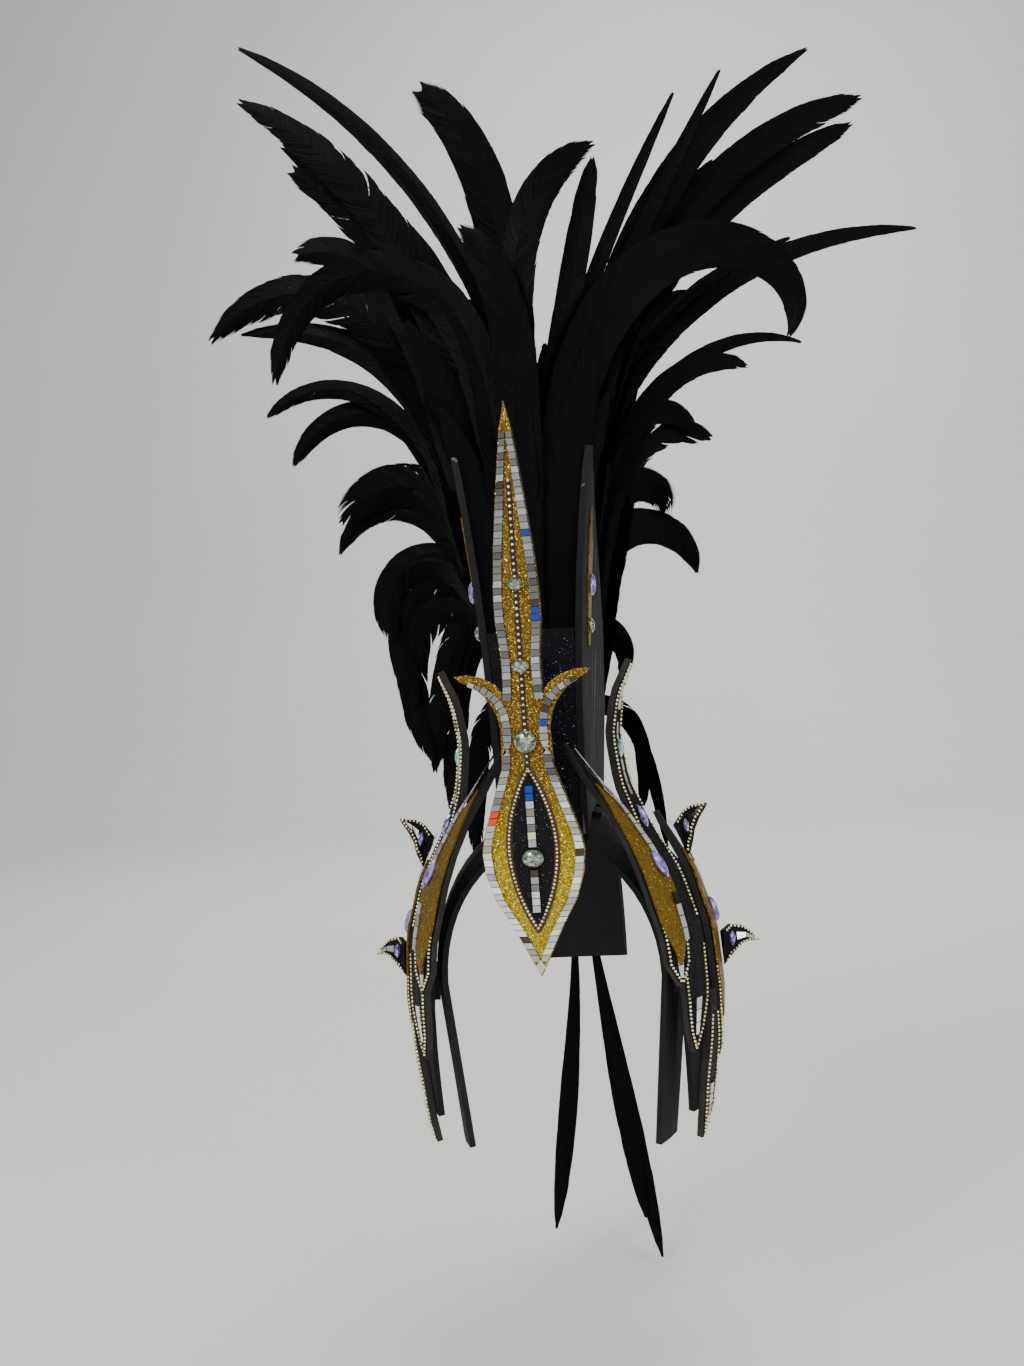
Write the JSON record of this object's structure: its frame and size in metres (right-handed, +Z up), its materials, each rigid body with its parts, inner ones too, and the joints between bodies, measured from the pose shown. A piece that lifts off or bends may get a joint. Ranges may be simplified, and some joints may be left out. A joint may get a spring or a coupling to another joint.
{
  "type": "feathered headdress",
  "caption": "Tall black feather crest on a foam head frame with a gold pointed front plate, layered flame shaped side wings, mirror tiles, bead chains and cut stones",
  "frame": {"origin": "Underside of the crown strap at the top of the wearer's head, on the middle plane", "axes": "+Z up along the crest, -Y out through the front plate, +X to the right as seen from the front; the middle plane of the frame is X = 0"},
  "size_m": [0.5312, 0.239, 0.9078],
  "materials": {
    "black_foam": "matte black closed cell foam",
    "black_glitter": "black glitter foam with sparse sparkle",
    "gold_glitter": "yellow gold glitter sheet",
    "mirror_tile": "silver mirror tiles and strips",
    "chain_metal": "pale gold cup chain set with small stones",
    "clear_stone": "clear cut stone with a foil back",
    "lilac_stone": "lilac cut stone with a foil back",
    "opal_stone": "green blue cut stone with a foil back",
    "feather": "black feather with a faint blue and purple sheen"
  },
  "bodies": {
    "root": {"head_band": "black_foam", "crown_strap": "black_foam", "crest_board_left": "black_foam", "crest_board_right": "black_foam", "crest_front_panel": "black_glitter", "front_plate": "gold_glitter", "plate_prop": "black_foam", "teardrop_inset": "black_glitter", "teardrop_tiles": "mirror_tile", "plate_tiles_left": "mirror_tile", "plate_tiles_right": "mirror_tile", "plate_chain": "chain_metal", "round_stone_1": "clear_stone", "round_stone_2": "clear_stone", "round_stone_3": "clear_stone", "round_stone_4": "clear_stone", "wing_pad_left": "black_foam", "side_panel_left": "black_foam", "tall_flame_left": "black_glitter", "front_flame_left": "black_glitter", "rear_flame_left": "black_glitter", "cheek_lobe_left": "black_glitter", "front_gold_left": "gold_glitter", "rear_gold_left": "gold_glitter", "upper_fin_left": "black_glitter", "lower_fin_left": "black_glitter", "tall_chain_left": "chain_metal", "cheek_chain_left": "chain_metal", "front_stone_left": "lilac_stone", "rear_stone_left": "lilac_stone", "tall_stone_left": "lilac_stone", "opal_stone_left": "opal_stone", "wing_pad_right": "black_foam", "side_panel_right": "black_foam", "tall_flame_right": "black_glitter", "front_flame_right": "black_glitter", "rear_flame_right": "black_glitter", "cheek_lobe_right": "black_glitter", "front_gold_right": "gold_glitter", "rear_gold_right": "gold_glitter", "upper_fin_right": "black_glitter", "lower_fin_right": "black_glitter", "tall_chain_right": "chain_metal", "cheek_chain_right": "chain_metal", "front_stone_right": "lilac_stone", "rear_stone_right": "lilac_stone", "tall_stone_right": "lilac_stone", "opal_stone_right": "opal_stone", "plume_front_left": "feather", "plume_front_right": "feather", "plume_top_left": "feather", "plume_top_right": "feather", "plume_back_left": "feather", "plume_back_right": "feather", "plume_low_left": "feather", "plume_low_right": "feather", "plume_nape": "feather"}
  },
  "joints": []
}
